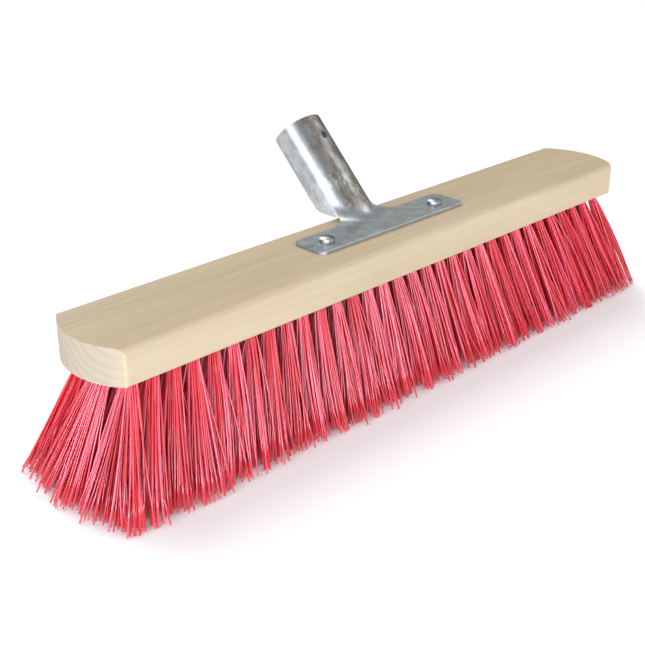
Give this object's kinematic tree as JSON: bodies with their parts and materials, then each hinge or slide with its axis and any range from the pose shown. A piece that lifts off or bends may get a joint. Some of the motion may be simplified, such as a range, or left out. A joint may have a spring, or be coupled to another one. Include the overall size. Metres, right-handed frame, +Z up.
{
  "type": "push broom head",
  "caption": "Wooden push broom head with red synthetic bristles in staggered rows and a slanted galvanised steel handle socket screwed to its top.",
  "frame": {"origin": "on the floor, in the plane of the bristle tips, under the centre of the block", "axes": "+X along the block, +Z up, and the handle socket leans towards +Y"},
  "size_m": [0.4514, 0.1331, 0.1402],
  "materials": {
    "block_wood": "sanded bare hardwood",
    "socket_steel": "galvanised, satin",
    "screw_zinc": "bright zinc",
    "anchor_wire": "drawn wire",
    "bristles": "glossy extruded filament"
  },
  "bodies": {
    "root": {"broom_block": "block_wood", "handle_socket": "socket_steel", "socket_screws": "screw_zinc", "anchors_front": "anchor_wire", "anchors_front_inner": "anchor_wire", "anchors_middle": "anchor_wire", "anchors_rear_inner": "anchor_wire", "anchors_rear": "anchor_wire", "tufts_front_left": "bristles", "tufts_front_centre": "bristles", "tufts_front_right": "bristles", "tufts_front_inner_left": "bristles", "tufts_front_inner_centre": "bristles", "tufts_front_inner_right": "bristles", "tufts_middle_left": "bristles", "tufts_middle_centre": "bristles", "tufts_middle_right": "bristles", "tufts_rear_inner_left": "bristles", "tufts_rear_inner_centre": "bristles", "tufts_rear_inner_right": "bristles", "tufts_rear_left": "bristles", "tufts_rear_centre": "bristles", "tufts_rear_right": "bristles"}
  },
  "joints": []
}
